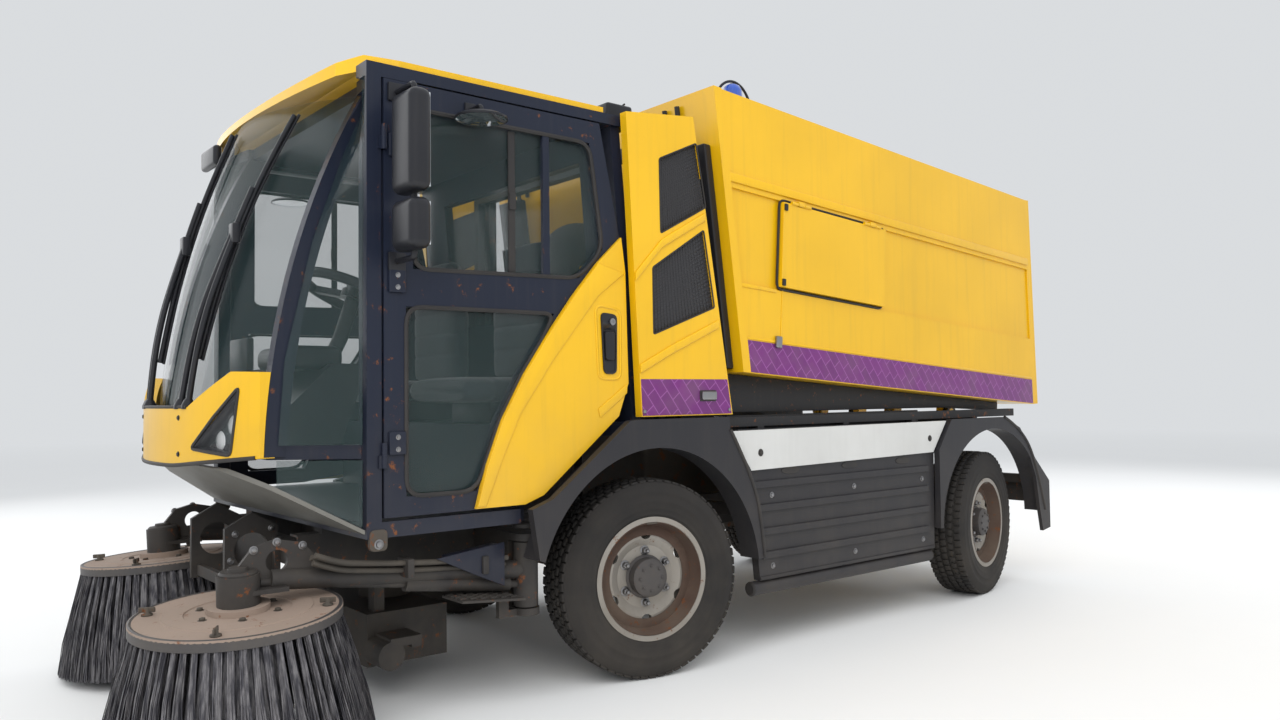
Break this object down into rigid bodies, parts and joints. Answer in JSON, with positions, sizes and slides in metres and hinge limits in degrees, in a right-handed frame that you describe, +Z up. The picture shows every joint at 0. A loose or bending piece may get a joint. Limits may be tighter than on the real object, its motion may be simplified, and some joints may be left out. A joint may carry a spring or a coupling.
{
  "type": "street sweeper truck",
  "caption": "Compact street sweeper truck with a tilting hopper, curved glass cab, disc brushes on swinging arms and all-wheel steering",
  "frame": {"origin": "centre of the bounding box in plan, at ground level", "axes": "+X to the truck's left, +Y to its rear (the front faces -Y), +Z up"},
  "size_m": [2.0654, 4.8924, 2.4759],
  "materials": {
    "frame_paint": "satin, rust-scuffed",
    "axle_iron": "rough, dusty",
    "engine_iron": "rough",
    "yellow_paint": "gloss, dusty",
    "cab_paint": "satin",
    "glass": "tinted, polished",
    "lamp_glass": "clear",
    "lamp_red": "gloss",
    "grey_plastic": "matte",
    "dark_plastic": "matte",
    "seat_fabric": "woven",
    "white_paint": "gloss, dusty",
    "rim_steel": "dirty",
    "tyre": "worn",
    "hose_rubber": "matte",
    "bristle_steel": "worn wire",
    "ram_chrome": "polished"
  },
  "bodies": {
    "chassis": {"chassis_frame": "frame_paint", "deck_frame": "frame_paint", "front_axle": "axle_iron", "rear_axle": "axle_iron", "engine_block": "engine_iron", "cab_frame": "cab_paint", "cab_roof": "yellow_paint", "windscreen": "glass", "nose_panel": "yellow_paint", "headlamps": "lamp_glass", "chin_panel": "grey_plastic", "side_glass": "glass", "wipers": "dark_plastic", "cab_seats": "seat_fabric", "dashboard": "dark_plastic", "kerb_mirror": "dark_plastic", "side_skirts": "grey_plastic", "skirt_plates": "white_paint", "wheel_arches": "dark_plastic", "cowl_panels": "yellow_paint", "cowl_grilles": "dark_plastic", "cowl_frame": "frame_paint", "suction_duct": "hose_rubber", "suction_nozzle": "frame_paint", "front_carrier": "frame_paint", "rear_bumper": "frame_paint", "tail_lamps": "lamp_red"},
    "knuckle_front_left": {"knuckle_front_left": "axle_iron"},
    "wheel_front_left": {"wheel_front_left": "rim_steel", "tyre_front_left": "tyre"},
    "knuckle_front_right": {"knuckle_front_right": "axle_iron"},
    "wheel_front_right": {"wheel_front_right": "rim_steel", "tyre_front_right": "tyre"},
    "knuckle_rear_left": {"knuckle_rear_left": "axle_iron"},
    "wheel_rear_left": {"wheel_rear_left": "rim_steel", "tyre_rear_left": "tyre"},
    "knuckle_rear_right": {"knuckle_rear_right": "axle_iron"},
    "wheel_rear_right": {"wheel_rear_right": "rim_steel", "tyre_rear_right": "tyre"},
    "door_left": {"door_frame_left": "cab_paint", "door_panel_left": "yellow_paint", "door_glass_left": "glass", "mirrors_left": "dark_plastic"},
    "hopper_hatch_left": {"hopper_hatch_left": "yellow_paint"},
    "brush_arm_left": {"brush_arm_left": "frame_paint"},
    "brush_left": {"brush_plate_left": "frame_paint", "brush_bristles_left": "bristle_steel"},
    "door_right": {"door_frame_right": "cab_paint", "door_panel_right": "yellow_paint", "door_glass_right": "glass", "mirrors_right": "dark_plastic"},
    "hopper_hatch_right": {"hopper_hatch_right": "yellow_paint"},
    "brush_arm_right": {"brush_arm_right": "frame_paint"},
    "brush_right": {"brush_plate_right": "frame_paint", "brush_bristles_right": "bristle_steel"},
    "hopper": {"hopper_body": "yellow_paint", "hopper_fittings": "dark_plastic"},
    "hopper_door": {"hopper_door": "yellow_paint"},
    "ram_barrels": {"ram_barrels": "frame_paint"},
    "ram_rods": {"ram_rods": "ram_chrome"}
  },
  "joints": [
    {"name": "steer_front_left", "type": "hinge", "parent": "chassis", "child": "knuckle_front_left", "pos_m": [0.68, -0.554, 0.38], "axis": [0, 0, 1], "range_deg": [-18.1, 41.9]},
    {"name": "spin_front_left", "type": "hinge", "parent": "knuckle_front_left", "child": "wheel_front_left", "pos_m": [0.68, -0.554, 0.38], "axis": [0.9785, -0.2062, 0], "continuous": true},
    {"name": "steer_front_right", "type": "hinge", "parent": "chassis", "child": "knuckle_front_right", "pos_m": [-0.68, -0.554, 0.38], "axis": [0, 0, 1], "range_deg": [-18.1, 41.9]},
    {"name": "spin_front_right", "type": "hinge", "parent": "knuckle_front_right", "child": "wheel_front_right", "pos_m": [-0.68, -0.554, 0.38], "axis": [0.9785, -0.2062, 0], "continuous": true},
    {"name": "steer_rear_left", "type": "hinge", "parent": "chassis", "child": "knuckle_rear_left", "pos_m": [0.68, 1.746, 0.38], "axis": [0, 0, 1], "range_deg": [-41.9, 18.1]},
    {"name": "spin_rear_left", "type": "hinge", "parent": "knuckle_rear_left", "child": "wheel_rear_left", "pos_m": [0.68, 1.746, 0.38], "axis": [0.982, 0.1891, 0], "continuous": true},
    {"name": "steer_rear_right", "type": "hinge", "parent": "chassis", "child": "knuckle_rear_right", "pos_m": [-0.68, 1.746, 0.38], "axis": [0, 0, 1], "range_deg": [-41.9, 18.1]},
    {"name": "spin_rear_right", "type": "hinge", "parent": "knuckle_rear_right", "child": "wheel_rear_right", "pos_m": [-0.68, 1.746, 0.38], "axis": [0.982, 0.1891, 0], "continuous": true},
    {"name": "door_left_hinge", "type": "hinge", "parent": "chassis", "child": "door_left", "pos_m": [0.803, -1.666, 1.4], "axis": [0, 0, -1], "range_deg": [0, 75]},
    {"name": "brush_arm_left_swing", "type": "hinge", "parent": "chassis", "child": "brush_arm_left", "pos_m": [0.7, -1.074, 0.45], "axis": [0, 0, 1], "range_deg": [-6, 25]},
    {"name": "brush_left_spin", "type": "hinge", "parent": "brush_arm_left", "child": "brush_left", "pos_m": [0.652, -2.064, 0.444], "axis": [0.0459, -0.0419, 0.9981], "continuous": true},
    {"name": "door_right_hinge", "type": "hinge", "parent": "chassis", "child": "door_right", "pos_m": [-0.803, -1.666, 1.4], "axis": [0, 0, 1], "range_deg": [0, 75]},
    {"name": "brush_arm_right_swing", "type": "hinge", "parent": "chassis", "child": "brush_arm_right", "pos_m": [-0.7, -1.074, 0.45], "axis": [0, 0, -1], "range_deg": [-6, 25]},
    {"name": "brush_right_spin", "type": "hinge", "parent": "brush_arm_right", "child": "brush_right", "pos_m": [-0.652, -1.955, 0.444], "axis": [-0.0459, -0.0419, 0.9981], "continuous": true},
    {"name": "hopper_tip", "type": "hinge", "parent": "chassis", "child": "hopper", "pos_m": [0, 2.196, 0.96], "axis": [-1, 0, 0], "range_deg": [-4, 41]},
    {"name": "hopper_door_hinge", "type": "hinge", "parent": "hopper", "child": "hopper_door", "pos_m": [0, 2.25955, 2.19858], "axis": [1, 0, 0], "range_deg": [0, 80]},
    {"name": "hopper_hatch_left_hinge", "type": "hinge", "parent": "hopper", "child": "hopper_hatch_left", "pos_m": [0.874, 0.52208, 1.89404], "axis": [0, -0.9976, 0.0698], "range_deg": [0, 80]},
    {"name": "hopper_hatch_right_hinge", "type": "hinge", "parent": "hopper", "child": "hopper_hatch_right", "pos_m": [-0.874, 0.52208, 1.89404], "axis": [0, 0.9976, -0.0698], "range_deg": [0, 80]},
    {"name": "ram_barrels_lift", "type": "hinge", "parent": "chassis", "child": "ram_barrels", "pos_m": [0, 1.146, 0.56], "axis": [1, 0, 0], "range_deg": [-1.5, 11.5]},
    {"name": "ram_rods_slide", "type": "slide", "parent": "ram_barrels", "child": "ram_rods", "axis": [0, 0.8185, 0.5745], "range_m": [-0.028, 0.258]}
  ],
  "couplings": [
    {"joint": "steer_front_right", "follows": "steer_front_left", "ratio": 1},
    {"joint": "steer_rear_left", "follows": "steer_front_left", "ratio": -1},
    {"joint": "steer_rear_right", "follows": "steer_front_left", "ratio": -1},
    {"joint": "ram_barrels_lift", "follows": "hopper_tip", "ratio": 0.265},
    {"joint": "ram_rods_slide", "follows": "hopper_tip", "m_per_rad": 0.3552}
  ]
}
